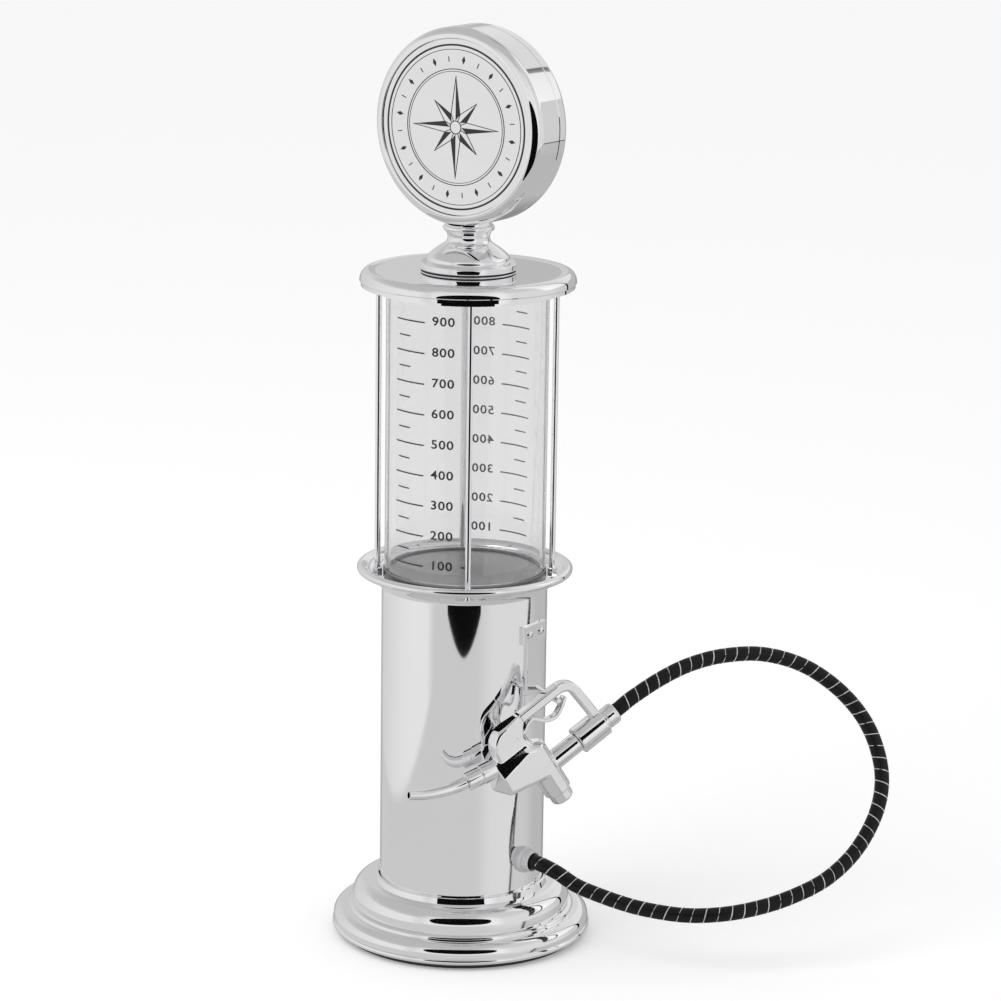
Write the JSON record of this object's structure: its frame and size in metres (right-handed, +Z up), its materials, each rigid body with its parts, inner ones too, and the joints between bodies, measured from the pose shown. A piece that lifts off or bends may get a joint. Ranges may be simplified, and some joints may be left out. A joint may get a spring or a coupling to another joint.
{
  "type": "drink dispenser",
  "caption": "Table-top drink dispenser shaped like an old fuel pump: clear graduated tank on a chrome column, round sign on top, ribbed hose and a small nozzle gun with a trigger valve.",
  "frame": {"origin": "centre of the base on the table, at the underside of the foot ring", "axes": "+Z up, the sign faces -Y, the hose, hook and gun are on the +X side"},
  "size_m": [0.2732, 0.2131, 0.4998],
  "materials": {
    "chrome": "polished",
    "clear_plastic": "clear",
    "clear_seal": "translucent",
    "black_rubber": "matt",
    "hose_black": "satin",
    "grey_plastic": "satin",
    "dark_plastic": "matt",
    "red_plastic": "gloss",
    "wire_red": "matt",
    "tube_clear": "translucent",
    "white_plastic": "matt",
    "steel": "plain",
    "sign_white": "gloss",
    "battery_green": "satin",
    "brass": "plain"
  },
  "bodies": {
    "stand": {"foot_ring": "black_rubber", "base_plate": "dark_plastic", "base_shell": "chrome", "base_screws": "steel", "battery_box": "dark_plastic", "batteries": "battery_green", "battery_contacts": "brass", "switch_body": "dark_plastic", "wires": "wire_red", "column_tube": "chrome", "pump_bracket": "dark_plastic", "motor": "steel", "pump_housing": "dark_plastic", "pump_cover": "dark_plastic", "feed_tube": "tube_clear", "outlet_tube": "tube_clear", "hose_gland": "grey_plastic", "gland_nut": "grey_plastic", "hose": "hose_black", "hook_plate": "chrome", "hook_screws": "chrome", "flange": "chrome", "tank_floor": "grey_plastic", "lower_seal": "clear_seal", "tank_tube": "clear_plastic", "upper_seal": "clear_seal", "tie_rods": "chrome", "rod_nuts": "chrome", "rod_tips": "chrome", "lid": "chrome", "filler_ring": "chrome"},
    "sign": {"plug_seal": "black_rubber", "pedestal": "chrome", "sign_bolt": "steel", "sign_nut": "steel", "sign_front_shell": "chrome", "sign_back_shell": "chrome", "sign_face": "sign_white"},
    "gun": {"gun_body": "chrome", "trigger_guard": "chrome", "tail_block": "chrome", "hose_ferrule": "chrome", "spout_collar": "chrome", "spout": "chrome", "trigger_pin": "steel", "valve_cap": "chrome", "valve_spring": "steel"},
    "trigger": {"trigger": "chrome"},
    "valve": {"valve_stem": "steel", "valve_seal": "black_rubber"},
    "impeller": {"motor_shaft": "steel", "impeller": "white_plastic"},
    "battery_cover": {"battery_cover": "dark_plastic"},
    "power_switch": {"power_switch": "red_plastic"}
  },
  "joints": [
    {"name": "sign_lift", "type": "slide", "parent": "stand", "child": "sign", "axis": [0, 0, 1], "range_m": [0, 0.05]},
    {"name": "gun_unhook", "type": "slide", "parent": "stand", "child": "gun", "axis": [0.848, -0.5299, 0], "range_m": [0, 0.03], "deforming": ["hose"]},
    {"name": "trigger_squeeze", "type": "hinge", "parent": "gun", "child": "trigger", "pos_m": [0.05228, -0.02955, 0.12687], "axis": [-0.848, 0.5299, 0], "range_deg": [0, 23], "stiffness_Nm_per_rad": 0.05},
    {"name": "valve_open", "type": "slide", "parent": "gun", "child": "valve", "axis": [0.2886, 0.4619, -0.8387], "range_m": [0, 0.0024], "deforming": ["valve_spring"]},
    {"name": "impeller_spin", "type": "hinge", "parent": "stand", "child": "impeller", "pos_m": [0, 0, 0.1], "axis": [0, 0, 1], "continuous": true},
    {"name": "battery_cover_slide", "type": "slide", "parent": "stand", "child": "battery_cover", "axis": [0, 1, 0], "range_m": [0, 0.026]},
    {"name": "power_switch_slide", "type": "slide", "parent": "stand", "child": "power_switch", "axis": [1, 0, 0], "range_m": [0, 0.004]}
  ],
  "couplings": [
    {"joint": "valve_open", "follows": "trigger_squeeze", "m_per_rad": 0.0059}
  ]
}
